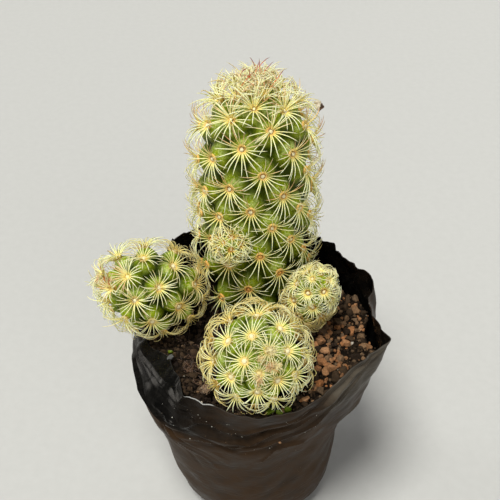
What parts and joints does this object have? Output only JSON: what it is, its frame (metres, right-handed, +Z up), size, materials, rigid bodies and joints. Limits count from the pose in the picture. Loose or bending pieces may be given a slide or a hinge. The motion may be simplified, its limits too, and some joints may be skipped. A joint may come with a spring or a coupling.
{
  "type": "potted thimble cactus",
  "caption": "Small clustering cactus with a tall domed stem and round offset heads, set with spine stars, standing in gritty soil in a soft black nursery bag.",
  "frame": {"origin": "middle of the bag's flat base, on the surface that it stands on", "axes": "+Z up along the bag's axis; -Y is the front, where the round front head stands; +X is to the right seen from the front"},
  "size_m": [0.0743, 0.0696, 0.1203],
  "materials": {
    "bag_film": "thin black polythene film, satin, creased and dusty",
    "soil": "dark crumbly potting mix with tan and orange-brown lava grit",
    "stem_skin": "waxy green skin, darker between the tubercles",
    "pup_skin": "waxy bright yellow-green young skin",
    "spines": "cream to straw-yellow slightly translucent spines",
    "wool": "short white to tan wool at each spine cushion",
    "dried_flower": "papery dry scraps"
  },
  "bodies": {
    "root": {"bag": "bag_film", "soil": "soil", "main_stem": "stem_skin", "pup_left": "pup_skin", "pup_front": "pup_skin", "pup_right": "pup_skin"}
  },
  "joints": []
}
